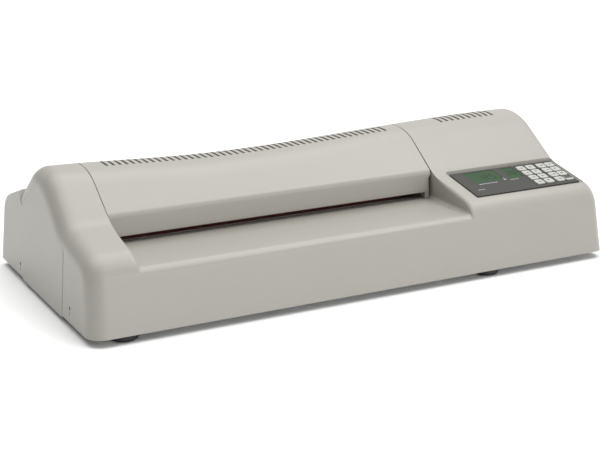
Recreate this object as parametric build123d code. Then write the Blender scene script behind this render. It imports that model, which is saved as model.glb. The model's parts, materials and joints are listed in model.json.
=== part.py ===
from build123d import *
from math import atan, atan2, cos, degrees, pi, radians, sin, sqrt, tan
import os

# A pouch laminator for A3 sheets. X runs along its length, Y from the front to the rear, Z up.
# The origin is on the table, under the middle of the machine. All sizes are in millimetres.

# Overall
length = 544.0
depth = 262.0
foot_height = 7.0
wall = 2.5
seam = 0.5
front = -depth / 2
rear = depth / 2
left = -length / 2
right = length / 2
floor_z = foot_height

# Side outline of the end housings, as corners in (y, z) that are rounded off
front_lean = 0.199
shoulder = (-118.3, 70.9)
shoulder_radius = 26.0
slope_foot = (-50.3, 84.7)
slope_foot_radius = 40.0
dome_front_slope = 0.69
dome_front_radius = 56.0
dome_rear_y = 40.0
dome_rear_slope = 0.854
dome_rear_radius = 38.0
control_slope = (slope_foot[1] - shoulder[1]) / (slope_foot[0] - shoulder[0])

# The crest sags between the ends
crest_left = 120.6
crest_low = 114.5
crest_right = 123.8
crest_low_x = -79.0
crest_right_x = 238.0

# End faces
left_draft = 0.073
right_draft = 0.04
left_round = 15.5
right_round = 10.0

# Centre cover and entry slot
cover_left = -222.0
cover_right = 118.0
tray_z = 61.0
tray_front_radius = 9.0
tray_rear_y = -38.5
slot_gap = 6.6
lip_z = tray_z + slot_gap
lip_y = -46.4
crease = (-44.6, 88.0)
crease_radius = 7.0
lip_end_gap = 2.5

# Rear housing
shelf_y = 67.0
shelf_z = 92.0
shelf_slope = 0.356
rear_lean = 0.077
rear_corner_radius = 20.4
rear_round = 4.5
side_seam_y = -55.4
side_inset = 16.5
end_strip = 20.0
skirt_z = 5.2
skirt_rear_y = 59.0
exit_height = 8.0

# Vents along the crest
vent_width = 2.8
vent_front_y = 12.0
vent_rear_y = 54.0
cover_vents = 46
cover_vent_start = -200.0
cover_vent_pitch = 6.65
side_vents = 10
side_vent_start = 167.0
side_vent_pitch = 7.1

# Control panel, square to the control slope
panel_x = 197.0
panel_y = -77.0
panel_width = 124.0
panel_depth = 51.0
panel_thickness = 1.3
recess_depth = 1.6
recess_margin = 3.5
panel_top = panel_thickness - recess_depth
key_width = 9.6
key_depth = 8.9
key_columns = (81.0, 92.6, 105.8, 116.6)
key_row_pitch = 10.7
key_first_row = 9.4
key_proud = 1.1
key_travel = 0.8
lens_sizes = ((36.0, 23.0), (16.0, 22.0))
lens_centres = ((31.6, 14.0), (65.0, 14.0))

# Roller train
nip_z = 64.3
gear_module = 1.5
roller_teeth = 20
pinion_teeth = 15
pressure_angle = 20.0
backlash = 0.16
roller_pitch = gear_module * roller_teeth
roller_diameter = roller_pitch - 0.4
core_diameter = 22.0
journal_diameter = 8.0
shaft_clearance = 0.05
heat_y = -6.0
pull_y = 46.0
roller_left = -204.0
roller_right = 100.0
frame_thickness = 2.0
frame_left_x = -216.0
frame_right_x = 110.0
gear_x = 114.0
gear_width = 8.0
lift_travel = 0.8
bush_size = 14.0
journal = journal_diameter / 2
bush_bore = journal + shaft_clearance
lower_z = nip_z - roller_pitch / 2
upper_z = nip_z + roller_pitch / 2
block_x = ((frame_left_x - 2.5, frame_left_x + 9.5), (frame_right_x - 7.5, frame_right_x + 3.5))
spring_x = (frame_left_x + 6.0, frame_right_x - 4.0)
spring_top = 96.0
spring_wire = 0.9
spring_radius = 2.8
spring_turns = 4
heat_plate_gap = 3.5
heat_plate_height = 6.5
heater_inset = 3.5
heater_radius = 1.6
stud_radius = 3.0
base_z = 8.0
base_thickness = 1.2
base_top = base_z + base_thickness

# Boards, drive and fastenings
screw_hole = 1.8
boss_radius = 4.5
boss_rib = 2.0
board_top = -8.0
power_board_place = (186.0, -70.0, 16.0)
motor_centre = (80.0, 38.0)
gearbox_radius = 27.0
gearbox_length = 18.0
can_radius = 22.0
can_length = 26.0
motor_posts = ((84.0, 60.0), (100.0, 30.0), (72.0, 16.0))
feet_places = ((-237.0, -115.0), (137.5, -115.0), (-237.0, 108.0), (222.0, 108.0))
boss_front = tuple((x, -120.5) for x in (-205.0, -95.0, 15.0, 165.0, 240.0))
boss_rear = tuple((x, 118.5) for x in (-205.0, -95.0, 15.0, 120.0, 160.0))
side_screws_front = (-76.0, 20.0)
side_screws_rear = (68.0, 18.0)
frame_screws_left = ((frame_left_x + 8, -20.0), (frame_left_x + 8, 50.0))
frame_screws_right = ((frame_right_x - 6, -20.0), (frame_right_x - 6, 50.0))

# Rear wall fittings
power_z = 35.0
inlet_x = 236.0
switch_x = 200.0
rocker_y = 127.0
rocker_tilt = 7.0
fan_x = -242.0
fan_z = 34.0
fan_size = 40.0
fan_thickness = 16.0
fan_front_y = 105.0
fan_hub_radius = 8.0
fan_pin_radius = 1.45
fan_blades = 7
fitting_face_y = 127.6

os.makedirs("parts", exist_ok=True)


def write(node, shape):
    export_step(shape, f"parts/{node}.step")


def box(x0, x1, y0, y1, z0, z1):
    return Pos((x0 + x1) / 2, (y0 + y1) / 2, (z0 + z1) / 2) * Box(x1 - x0, y1 - y0, z1 - z0)


def rod_x(x0, x1, y, z, radius):
    return Pos((x0 + x1) / 2, y, z) * Rot(0, 90, 0) * Cylinder(radius, x1 - x0)


def rod_z(x, y, z0, z1, radius):
    return Pos(x, y, (z0 + z1) / 2) * Cylinder(radius, z1 - z0)


def slab_x(x0, x1, corners):
    """A prism along X from a polygon of (y, z) corners."""
    face = make_face(Polyline([(x0, y, z) for y, z in corners], close=True))
    return extrude(face, amount=x1 - x0, dir=(1, 0, 0))


def crest(x):
    """Height of the dome's crest at x."""
    if x < crest_low_x:
        rise, share = crest_left - crest_low, (crest_low_x - x) / (crest_low_x - left)
    else:
        rise, share = crest_right - crest_low, (x - crest_low_x) / (crest_right_x - crest_low_x)
    return crest_low + rise * (1 - cos(pi * min(share, 1))) / 2


def shelf_height(y):
    return shelf_z - shelf_slope * (y - shelf_y)


def meet(p, p_slope, q, q_slope):
    """Where two lines in (y, z) cross, each given by a point and its rise per mm of y."""
    y = (q[1] - p[1] + p_slope * p[0] - q_slope * q[0]) / (p_slope - q_slope)
    return y, p[1] + p_slope * (y - p[0])


def inward(corners, inset):
    """Moves each side of an open outline inwards, to the right of its direction of travel."""
    moved = []
    for a, b in zip(corners, corners[1:]):
        run, rise = b[0] - a[0], b[1] - a[1]
        size = sqrt(run * run + rise * rise)
        shift = (rise / size * inset, -run / size * inset)
        moved.append(((a[0] + shift[0], a[1] + shift[1]), (run, rise)))
    result = [moved[0][0]]
    for (p, u), (q, v) in zip(moved, moved[1:]):
        t = ((q[0] - p[0]) * v[1] - (q[1] - p[1]) * v[0]) / (u[0] * v[1] - u[1] * v[0])
        result.append((p[0] + u[0] * t, p[1] + u[1] * t))
    last, (run, rise) = moved[-1]
    end_length = corners[-1][1] - corners[-2][1]
    result.append((last[0] + run * end_length / rise, last[1] + end_length))
    return result


def dome_section(x, inset, start="foot"):
    """The closed outline of an end housing at x, or of the centre cover where start is lip."""
    top = crest(x)
    front_top = meet(slope_foot, dome_front_slope, (0, top), 0)
    deep = (dome_rear_y + (top - 60) / dome_rear_slope, 60)
    if start == "foot":
        corners = [(front, floor_z), shoulder, slope_foot, front_top, (dome_rear_y, top), deep]
        radii = [shoulder_radius - inset, slope_foot_radius + inset]
    else:
        corners = [(lip_y, lip_z), crease, front_top, (dome_rear_y, top), deep]
        radii = [crease_radius - inset]
    radii += [dome_front_radius - inset, dome_rear_radius - inset]
    points = inward(corners, inset)
    path = FilletPolyline([(x, y, z) for y, z in points], radius=radii)
    low = floor_z - 10
    first, last = points[0], points[-1]
    closing = Polyline([(x, *last), (x, last[0], low), (x, first[0], low), (x, *first)])
    return Wire(path.edges() + closing.edges())


def lofted(stations, inset, start="foot"):
    """A ruled solid through the dome's outline at each station."""
    return Part() + Solid.make_loft([dome_section(x, inset, start) for x in stations], ruled=True)


def between_ends(inset):
    """Everything between the two drafted end faces."""
    low, high = -20.0, 140.0
    corners = [
        (left + inset + left_draft * (low - skirt_z), low),
        (left + inset + left_draft * (high - skirt_z), high),
        (right - inset - right_draft * (high - skirt_z), high),
        (right - inset - right_draft * (low - skirt_z), low),
    ]
    face = make_face(Polyline([(x, front - 20, z) for x, z in corners], close=True))
    return extrude(face, amount=depth + 40, dir=(0, 1, 0))


def end_edges(solid, side, low, back=200.0):
    """The outline edges of one end face, above a height and in front of a depth."""
    end = solid.faces().sort_by(Axis.X)[0 if side < 0 else -1]
    return [e for e in end.edges() if e.center().Z > low and e.center().Y < back
            and not (abs(e.bounding_box().size.Z) < 0.01 and e.center().Z < low + 5)]


def end_housing(side, inset):
    """The solid form of the left (-1) or right (1) housing."""
    if side < 0:
        span = lofted((left - 5, cover_left), inset)
        round_size = left_round
    else:
        span = lofted((cover_right, 158, 198, crest_right_x), inset) + lofted((crest_right_x, right + 5), inset)
        round_size = right_round
    form = span & between_ends(inset)
    return fillet(end_edges(form, side, 0.0, 100.0), round_size - inset)


def tray_form(inset):
    """The solid form of the front face and tray between the housings."""
    front_top = (front + front_lean * (tray_z - floor_z), tray_z)
    points = inward([(front, floor_z), front_top, (40, tray_z), (40.1, 0)], inset)[:3]
    path = FilletPolyline([(left + 30, y, z) for y, z in points], radius=tray_front_radius - inset)
    low = floor_z - 10
    ends = [(40, tray_z - inset), (40, low), (points[0][0], low), points[0]]
    closing = Polyline([(left + 30, *points[-1])] + [(left + 30, y, z) for y, z in ends])
    face = make_face(path.edges() + closing.edges())
    return extrude(face, amount=length - 60, dir=(1, 0, 0))


def side_panel_region(grow):
    """The parts of the two end faces that belong to the rear housing.

    Each follows its dome at a distance, then runs square to the rear slope out to the shelf.
    """
    region = []
    for side, top in ((-1, crest_left), (1, crest_right)):
        front_top = meet(slope_foot, dome_front_slope, (0, top), 0)
        deep = (dome_rear_y + (top - 60) / dome_rear_slope, 60)
        outline = inward([shoulder, slope_foot, front_top, (dome_rear_y, top), deep], side_inset - grow)
        seam_y = side_seam_y - grow
        outline[0] = (seam_y, outline[1][1] + control_slope * (seam_y - outline[1][0]))
        shelf_start = meet((dome_rear_y, top), -dome_rear_slope, (shelf_y, shelf_z), -shelf_slope)
        steep = atan(dome_rear_slope)
        run = (cos(steep), -sin(steep))
        out = (sin(steep), cos(steep))
        cut = (shelf_start[0] - run[0] * grow, shelf_start[1] - run[1] * grow)
        outline[-1] = (cut[0] - out[0] * (side_inset - grow), cut[1] - out[1] * (side_inset - grow))
        radii = [slope_foot_radius + side_inset - grow, dome_front_radius - side_inset + grow,
                 dome_rear_radius - side_inset + grow]
        x0 = side * (length / 2 + 5) - (end_strip + 5 if side > 0 else 0)
        path = FilletPolyline([(x0, y, z) for y, z in outline], radius=radii)
        rest = [(cut[0] + out[0] * 3, cut[1] + out[1] * 3), (rear + 20, shelf_z + 3),
                (rear + 20, floor_z - 20), (seam_y, floor_z - 20), outline[0]]
        closing = Polyline([(x0, *outline[-1])] + [(x0, y, z) for y, z in rest])
        face = make_face(path.edges() + closing.edges())
        region.append(extrude(face, amount=end_strip + 5, dir=(1, 0, 0)))
    return region


def below_shelf(start, grow):
    """Everything under the rear shelf's surface between the end faces, behind a given depth."""
    corners = [(start, shelf_height(start) + grow), (rear + 20, shelf_height(rear + 20) + grow),
               (rear + 20, -20), (start, -20)]
    return slab_x(left + end_strip, right - end_strip, corners)


def vent_row(start, pitch, count):
    return [box(start + i * pitch - vent_width / 2, start + i * pitch + vent_width / 2,
                vent_front_y, vent_rear_y, 95, 130) for i in range(count)]


def on_panel(x, y, z=0.0):
    """A place on the control panel, from its middle, with z square to the control slope."""
    z_here = shoulder[1] + control_slope * (panel_y - shoulder[0])
    return Pos(panel_x, panel_y, z_here) * Rot(degrees(atan(control_slope)), 0, 0) * Pos(x, y, z)


def from_corner(u, v):
    """Panel position from its rear left corner, u to the right and v to the front."""
    return u - panel_width / 2, panel_depth / 2 - v


def side_holes(shape, y, z):
    """A screw hole low on both end faces, with a slit below it."""
    for x in (left, right):
        shape -= rod_x(x - 5, x + 8, y, z, screw_hole)
        shape -= box(x - 5, x + 8, y - 0.5, y + 0.5, z - 7, z - 2.5)
    return shape


def add_bosses(shape, places, top, wall_side, inside):
    """Screw posts, each with a rib to the wall in front of it (-1) or behind it (1)."""
    for x, y in places:
        shape += rod_z(x, y, base_top, top, boss_radius)
        y0, y1 = sorted((y, y + 12 * wall_side))
        shape += box(x - boss_rib / 2, x + boss_rib / 2, y0, y1, base_z + 6, top) & inside
    for x, y in places:
        shape -= rod_z(x, y, 0, top - 3, screw_hole)
    return shape


def front_housing():
    shape = end_housing(-1, 0) + end_housing(1, 0) + tray_form(0)
    shape -= end_housing(-1, wall) & box(left - 5, cover_left - wall, -200, 200, -20, 200)
    shape -= end_housing(1, wall) & box(cover_right + wall, right + 5, -200, 200, -20, 200)
    shape -= tray_form(wall)
    rim = 1.5
    behind = box(-300, 300, tray_rear_y, 200, -20, 200)
    shape -= lofted((cover_left - wall - 2, cover_left + 5), wall + rim) & behind
    shape -= lofted((cover_right - 5, cover_right + wall + 2), wall + rim) & behind
    shape -= box(cover_left, cover_right, tray_rear_y, 200, -20, 200)
    shape -= box(left + end_strip, right - end_strip, tray_rear_y, 200, -20, tray_z + 0.1)
    shape -= side_panel_region(seam)
    shape -= below_shelf(56.0, seam)
    shape -= box(-300, 300, -200, 200, -20, floor_z)
    shape += on_panel(0, 0, -recess_depth - 1.5) * Box(panel_width + 14, panel_depth + 10, 3.0)
    recess = Box(panel_width + 2 * recess_margin, panel_depth + 2 * recess_margin, 12)
    shape -= on_panel(0, 0, 6 - recess_depth) * fillet(recess.edges().filter_by(Axis.Z), 4)
    shape -= on_panel(0, 0, -4) * Box(panel_width - 3, panel_depth - 4, 20)
    shape = add_bosses(shape, boss_front, 36, -1, tray_form(wall / 2))
    for vent in vent_row(side_vent_start, side_vent_pitch, side_vents):
        shape -= vent
    return side_holes(shape, *side_screws_front)


def centre_cover():
    x0, x1 = cover_left + seam, cover_right - seam
    stations = [x0, -180, -140, crest_low_x, -30, 20, 70, x1]
    shape = lofted(stations, 0, "lip") - lofted([x0 - 1] + stations[1:-1] + [x1 + 1], wall, "lip")
    shape -= box(-300, 300, -200, 200, -20, lip_z)
    shape += box(x0, x1, lip_y, -38.0, lip_z, lip_z + 2.0)
    shape -= below_shelf(50.0, seam)
    shape -= box(x1 - lip_end_gap, 200, -60, -37, 50, crease[1] - 4)
    shape += box(x1 - lip_end_gap - 4.5, x1 - lip_end_gap, lip_y, -40.0, tray_z + 0.3, lip_z + 1)
    shape -= vent_row(cover_vent_start, cover_vent_pitch, cover_vents)
    return shape


def rear_form(inset):
    """The solid form of the shelf, rear wall and end faces."""
    corner = meet((shelf_y, shelf_z), -shelf_slope, (rear, floor_z), -1 / rear_lean)
    heel = (rear + rear_lean * 20, floor_z - 20)
    points = inward([(20, shelf_height(20)), corner, heel], inset)
    path = FilletPolyline([(left - 10, y, z) for y, z in points], radius=rear_corner_radius - inset)
    low = floor_z - 20
    ends = [points[-1], (-90, low), (-90, points[0][1]), points[0]]
    face = make_face(path.edges() + Polyline([(left - 10, y, z) for y, z in ends]).edges())
    form = extrude(face, amount=length + 20, dir=(1, 0, 0)) & between_ends(inset)
    for side in (-1, 1):
        end = form.faces().sort_by(Axis.X)[0 if side < 0 else -1]
        edges = [e for e in end.edges() if e.center().Y > 30 and e.center().Z > 8]
        form = fillet(edges, rear_round - inset)
    return form


def rear_housing():
    skin = rear_form(0) - rear_form(wall)
    middle = box(left + end_strip, right - end_strip, 58, 200, -20, 200)
    shape = skin & middle
    for end in side_panel_region(0):
        shape += skin & end
    shape -= box(left + 6, right - 6, -200, 200, -30, floor_z)
    shape -= box(-300, 300, -200, 200, -30, skirt_z)
    shape -= box(-300, 300, skirt_rear_y, 200, -30, floor_z)
    low, high = nip_z - exit_height / 2, nip_z + exit_height / 2
    inside = rear_form(wall / 2)
    for z in (low - 2, high):
        shape += box(roller_left - 6, roller_right + 6, 66, 140, z, z + 2) & inside
    shape -= box(roller_left - 4, roller_right + 4, 60, 140, low, high)
    pad = box(184, 262, fitting_face_y - 5.1, fitting_face_y, 14, 56)
    shape += pad & rear_form(0)
    shape -= box(188, 258, fitting_face_y, 140, 17, 53)
    shape -= box(inlet_x - 13.7, inlet_x + 13.7, 110, 140, power_z - 10.2, power_z + 10.2)
    shape -= box(switch_x - 6.6, switch_x + 6.6, 110, 140, power_z - 9.8, power_z + 9.8)
    for i in range(7):
        x = fan_x - 15 + i * 5
        shape -= box(x - 1.4, x + 1.4, 115, 140, fan_z - 15, fan_z + 15)
    shape = add_bosses(shape, boss_rear, 34, 1, inside)
    return side_holes(shape, *side_screws_rear)


def control_panel():
    plate = on_panel(0, 0, panel_top - panel_thickness / 2) * Box(panel_width, panel_depth, panel_thickness)
    for (u, v), (w, d) in zip(lens_centres, lens_sizes):
        x, y = from_corner(u, v)
        plate -= on_panel(x, y) * Box(w + 0.3, d + 0.3, 8)
    for row in range(4):
        for u in key_columns:
            x, y = from_corner(u, key_first_row + row * key_row_pitch)
            plate -= on_panel(x, y) * Box(key_width + 0.5, key_depth + 0.5, 8)
    return plate


def display_lenses():
    lenses = []
    for (u, v), (w, d) in zip(lens_centres, lens_sizes):
        x, y = from_corner(u, v)
        lenses.append(on_panel(x, y, panel_top - 0.7) * Box(w, d, 1.0))
    return Compound(lenses)


def key(row, column):
    """A keycap with a flange that holds it under the panel, and a stem over its switch."""
    x, y = from_corner(key_columns[column], key_first_row + row * key_row_pitch)
    top = panel_top + key_proud
    flange_top = panel_top - panel_thickness - 0.3
    cap_height = top - flange_top
    cap = Box(key_width, key_depth, cap_height)
    cap = fillet(cap.edges().filter_by(Axis.Z), 1.8)
    cap = fillet(cap.faces().sort_by(Axis.Z)[-1].edges(), 0.5)
    whole = Pos(0, 0, flange_top + cap_height / 2) * cap
    whole += Pos(0, 0, flange_top - 0.5) * Box(key_width + 1.0, key_depth + 1.0, 1.0)
    whole += Pos(0, 0, flange_top - 2.25) * Cylinder(1.5, 2.5)
    return on_panel(x, y) * whole


def control_board():
    board = Pos(0, 0, board_top - 0.8) * Box(panel_width - 5, panel_depth - 6, 1.6)
    for row in range(4):
        for u in key_columns:
            x, y = from_corner(u, key_first_row + row * key_row_pitch)
            board += Pos(x, y, board_top + 0.6) * Box(6, 6, 1.2)
            board += Pos(x, y, board_top + 1.4) * Cylinder(1.6, 0.5)
    for (u, v), (w, d) in zip(lens_centres, lens_sizes):
        x, y = from_corner(u, v)
        board += Pos(x, y, board_top + 2.9) * Box(w - 2, d - 3, 5.8)
    board += Pos(-20, -14, board_top - 3.6) * Box(24, 6, 5)
    return on_panel(0, 0) * board


def power_board():
    x, y, z = power_board_place
    board = Box(96, 64, 1.6)
    parts = [(-36, 18, 12, 10.5, 26), (-20, 18, 9, 9, 20), (4, 16, 16, 22, 18), (26, 14, 14, 12, 16)]
    for px, py, w, d, h in parts:
        board += Pos(px, py, 0.8 + h / 2) * Box(w, d, h)
    for px, w in ((-38, 12), (-9, 24), (16, 12), (34, 12)):
        board += Pos(px, -22, 5.8) * Box(w, 8, 10)
    board += Pos(-30, -4, 8.8) * Cylinder(8, 16)
    board += Pos(34, -4, 6.8) * Cylinder(6, 12)
    for px in (-43, 43):
        for py in (-28, 28):
            board += Pos(px, py, -3.4) * Cylinder(3, 5.2)
    return Pos(x, y, z) * board


def transformer():
    """A laminated core with its winding bobbin."""
    x0, y0, z0 = 222.0, 52.0, base_top
    core = box(x0 - 27, x0 + 27, y0 - 16, y0 + 16, z0, z0 + 46)
    core -= box(x0 - 18, x0 - 9, y0 - 20, y0 + 20, z0 + 9, z0 + 37)
    core -= box(x0 + 9, x0 + 18, y0 - 20, y0 + 20, z0 + 9, z0 + 37)
    winding = box(x0 - 17, x0 + 17, y0 - 25, y0 + 25, z0 + 10, z0 + 36)
    winding = fillet(winding.edges().filter_by(Axis.Z), 4)
    winding -= box(x0 - 9, x0 + 9, y0 - 16, y0 + 16, z0, z0 + 46)
    winding -= box(x0 - 20, x0 - 8.9, y0 - 16, y0 + 16, z0, z0 + 9.5)
    return Compound([core, winding])


def ribbon_cable():
    """A flat cable between the two boards, bent in one plane."""
    route = [(-92, 26.9), (-92, 32), (-98, 38), (-98, 48), (-88, 56), (-88, 62.4)]
    return slab_x(167, 187, inward(route, 0.4) + inward(route, -0.4)[::-1])


def involute(a):
    return tan(a) - a


def gear(teeth, bore, phase, x, y, z):
    """A spur gear about X. One tooth is centred at the phase angle, from +Y towards +Z."""
    pitch_radius = gear_module * teeth / 2
    base_radius = pitch_radius * cos(radians(pressure_angle))
    tip = pitch_radius + 0.95 * gear_module
    root = pitch_radius - 1.25 * gear_module
    start = max(base_radius, root + 0.05)
    flank = []
    for i in range(4):
        r = start + (tip - start) * i / 3
        half = pi / (2 * teeth) + involute(radians(pressure_angle)) - involute(acos_safe(base_radius / r))
        flank.append((r, half - backlash / (2 * pitch_radius)))
    corners = []
    for k in range(teeth):
        middle = radians(phase) + 2 * pi * k / teeth
        corners.append((root, middle - flank[0][1]))
        corners += [(r, middle - a) for r, a in flank]
        corners += [(r, middle + a) for r, a in reversed(flank)]
        corners.append((root, middle + flank[0][1]))
    outline = [(x, y + r * cos(a), z + r * sin(a)) for r, a in corners]
    body = extrude(make_face(Polyline(outline, close=True)), amount=gear_width, dir=(1, 0, 0))
    if bore:
        body -= rod_x(x - 1, x + gear_width + 1, y, z, bore)
    return body


def acos_safe(c):
    return atan2(sqrt(max(0.0, 1 - c * c)), c)


def meshed_phase(phase, teeth, direction, other_teeth):
    """Phase of a gear that meshes with one at this phase, from which it lies in this direction."""
    share = (direction - phase) / (360 / teeth) % 1
    return direction + 180 - (0.5 - share) * 360 / other_teeth


idler_drop = sqrt(roller_pitch ** 2 - ((pull_y - heat_y) / 2) ** 2)
idler_place = ((heat_y + pull_y) / 2, lower_z - idler_drop)
to_idler = degrees(atan2(-idler_drop, (pull_y - heat_y) / 2))
pinion_angle = -30.0
pinion_distance = gear_module * (roller_teeth + pinion_teeth) / 2
pinion_place = (pull_y + pinion_distance * cos(radians(pinion_angle)),
                lower_z + pinion_distance * sin(radians(pinion_angle)))
heat_lower_phase = 0.0
heat_upper_phase = meshed_phase(heat_lower_phase, roller_teeth, 90, roller_teeth)
idler_phase = meshed_phase(heat_lower_phase, roller_teeth, to_idler, roller_teeth)
pull_lower_phase = meshed_phase(idler_phase, roller_teeth, -to_idler, roller_teeth)
pull_upper_phase = meshed_phase(pull_lower_phase, roller_teeth, 90, roller_teeth)
pinion_phase = meshed_phase(pull_lower_phase, roller_teeth, pinion_angle, pinion_teeth)

rollers = {
    "heat_roller_upper": (heat_y, upper_z, heat_upper_phase),
    "heat_roller_lower": (heat_y, lower_z, heat_lower_phase),
    "pull_roller_upper": (pull_y, upper_z, pull_upper_phase),
    "pull_roller_lower": (pull_y, lower_z, pull_lower_phase),
}


def roller_core(y, z):
    shape = rod_x(roller_left, roller_right, y, z, core_diameter / 2)
    shape += rod_x(frame_left_x - 3, roller_left, y, z, journal)
    return shape + rod_x(roller_right, gear_x + gear_width + 2, y, z, journal)


def roller_sleeve(y, z):
    outer = rod_x(roller_left, roller_right, y, z, roller_diameter / 2)
    outer = chamfer(outer.edges().filter_by(GeomType.CIRCLE), 0.6)
    return outer - rod_x(roller_left - 1, roller_right + 1, y, z, core_diameter / 2)


def side_frame(side):
    """A steel plate with holes for the lower bushes, slots for the upper ones and folded flanges."""
    x = frame_left_x if side < 0 else frame_right_x
    inner = (x + frame_thickness, x + 14) if side < 0 else (x - 12, x)
    foot = base_top
    corners = [(-35, foot), (-35, 76), (-17, 98), (57, 98), (57, 90), (60, 86), (60, 68)]
    corners += [(60, foot)] if side < 0 else [(106, 66), (106, foot)]
    plate = slab_x(x, x + frame_thickness, corners)
    plate += box(*inner, -30, 56, foot, foot + 2)
    plate += box(*inner, -16, 56, spring_top, spring_top + 2)
    for y in (heat_y, pull_y):
        plate -= rod_x(x - 5, x + 5, y, lower_z, bush_size / 2)
        slot = bush_size / 2 + 0.15
        plate -= box(x - 1, x + frame_thickness + 1, y - slot, y + slot, upper_z - slot, spring_top)
    for px, py in frame_screws_left if side < 0 else frame_screws_right:
        plate -= rod_z(px, py, 0, foot + 3, 1.7)
    if side > 0:
        plate -= rod_x(x - 5, x + 5, *idler_place, stud_radius + shaft_clearance)
        for y, z in motor_posts:
            plate -= rod_x(x - 5, x + 5, y, z, 1.5)
        plate -= rod_x(x - 5, x + 5, *pinion_place, 5.0)
    return plate


def lower_bushes():
    bushes = []
    for x0, x1 in block_x:
        for y in (heat_y, pull_y):
            flange_x = (x0 + 4.5, x0 + 6.0) if x0 < 0 else (x1 - 5.0, x1 - 3.5)
            bush = rod_x(x0, x1, y, lower_z, bush_size / 2 - 0.02)
            bush += rod_x(*flange_x, y, lower_z, bush_size / 2 + 2)
            bushes.append(bush - rod_x(x0 - 1, x1 + 1, y, lower_z, bush_bore))
    return Compound(bushes)


def upper_bushes(y):
    """Two blocks that slide in the frame slots, each with a pocket ring for its spring."""
    blocks = []
    half = bush_size / 2
    for x0, x1 in block_x:
        inner = (x0 + 4.7, x0 + 6.2) if x0 < 0 else (x1 - 7.2, x1 - 5.7)
        block = box(x0, x1, y - half, y + half, upper_z - half, upper_z + half)
        block += box(*inner, y - half - 2, y + half + 2, upper_z - half, upper_z + half)
        blocks.append(block - rod_x(x0 - 1, x1 + 1, y, upper_z, bush_bore))
    return Compound(blocks)


def lift_springs(y):
    springs = []
    low, high = upper_z + bush_size / 2 + spring_wire / 2, spring_top - spring_wire / 2
    for x in spring_x:
        turns = Helix(pitch=(high - low) / spring_turns, height=high - low, radius=spring_radius)
        start = Plane(origin=turns @ 0, x_dir=(1, 0, 0), z_dir=turns % 0)
        section = start * Rectangle(spring_wire, spring_wire)
        springs.append(Pos(x, y, low) * sweep(section, path=turns, is_frenet=True))
    return Compound(springs)


def heat_plate(z0, z1, lip):
    """A heated aluminium shoe ahead of the heat rollers, with a heater groove along it."""
    y0, y1 = tray_rear_y + heat_plate_gap, heat_y - roller_diameter / 2 - heat_plate_gap + 0.5
    corners = [(y0, z0), (y1, z0), (y1, z1), (y0, z1)]
    plate = slab_x(frame_left_x + frame_thickness, frame_right_x, corners)
    groove_z = z1 if lip > 0 else z0
    for y in (y0 + heater_inset, y1 - heater_inset):
        plate -= rod_x(left, right, y, groove_z, heater_radius)
    return plate


def gear_motor():
    """A flat gearbox on three posts with its motor can behind."""
    y, z = motor_centre
    start = gear_x + gear_width + 3
    can_start = start + gearbox_length
    can_end = can_start + can_length
    body = rod_x(start, can_start, y, z, gearbox_radius)
    body = fillet(body.edges().filter_by(GeomType.CIRCLE), 2)
    body += rod_x(can_start, can_end, y, z, can_radius)
    body += rod_x(can_end, can_end + 3, y, z, 6)
    for py, pz in motor_posts:
        body += rod_x(frame_right_x + frame_thickness, start + 1, py, pz, 3)
    return body - rod_x(start - 1, start + 10, *pinion_place, 3.0)


def motor_pinion():
    shape = gear(pinion_teeth, 0, pinion_phase, gear_x, *pinion_place)
    return shape + rod_x(gear_x - 1, gear_x + gear_width + 12, *pinion_place, 2.95)


def idler_stud():
    y, z = idler_place
    stud = rod_x(frame_right_x - 0.5, gear_x + gear_width + 2.5, y, z, stud_radius)
    stud += rod_x(frame_right_x - 1.5, frame_right_x, y, z, 4.5)
    return stud + rod_x(gear_x + gear_width + 0.4, gear_x + gear_width + 1.4, y, z, 4.5)


def fan_frame():
    half, y0 = fan_size / 2, fan_front_y
    frame = box(fan_x - half, fan_x + half, y0, y0 + fan_thickness, fan_z - half, fan_z + half)
    frame = fillet(frame.edges().filter_by(Axis.Y), 3)
    middle = Pos(fan_x, y0 + fan_thickness / 2, fan_z) * Rot(90, 0, 0)
    frame -= middle * Cylinder(half - 1.2, fan_thickness + 2)
    for sx in (-1, 1):
        for sz in (-1, 1):
            frame -= Pos(sx * (half - 4), 0, sz * (half - 4)) * middle * Cylinder(screw_hole, fan_thickness + 2)
    hub = Pos(fan_x, y0 + 1.2, fan_z) * Rot(90, 0, 0) * Cylinder(fan_hub_radius, 2.4)
    for turn in (30, 150, 270):
        hub += Pos(fan_x, y0 + 1.0, fan_z) * Rot(0, turn, 0) * Pos(13, 0, 0) * Box(14, 2.0, 3)
    pin = Pos(fan_x, y0 + 5, fan_z) * Rot(90, 0, 0) * Cylinder(fan_pin_radius, 8)
    return frame + hub + pin


def fan_rotor():
    y0, y1 = fan_front_y + 3.2, fan_front_y + fan_thickness - 1
    middle = Pos(fan_x, (y0 + y1) / 2, fan_z)
    rotor = middle * Rot(90, 0, 0) * Cylinder(fan_hub_radius, y1 - y0)
    for k in range(fan_blades):
        blade = Rot(0, k * 360 / fan_blades, 0) * Pos(12, 0, 0) * Rot(40, 0, 0) * Box(10.5, 1.0, 11)
        rotor += middle * blade
    bore = Cylinder(fan_pin_radius + shaft_clearance, 13)
    return rotor - Pos(fan_x, y0, fan_z) * Rot(90, 0, 0) * bore


def rubber_feet():
    feet = []
    for x, y in feet_places:
        foot = rod_z(x, y, 0, base_z, 13)
        foot = fillet(foot.faces().sort_by(Axis.Z)[0].edges(), 3)
        foot += rod_z(x, y, base_z - 1, base_top, 3.8)
        feet.append(foot + rod_z(x, y, base_top, base_top + 1.6, 5.5))
    return Compound(feet)


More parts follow.
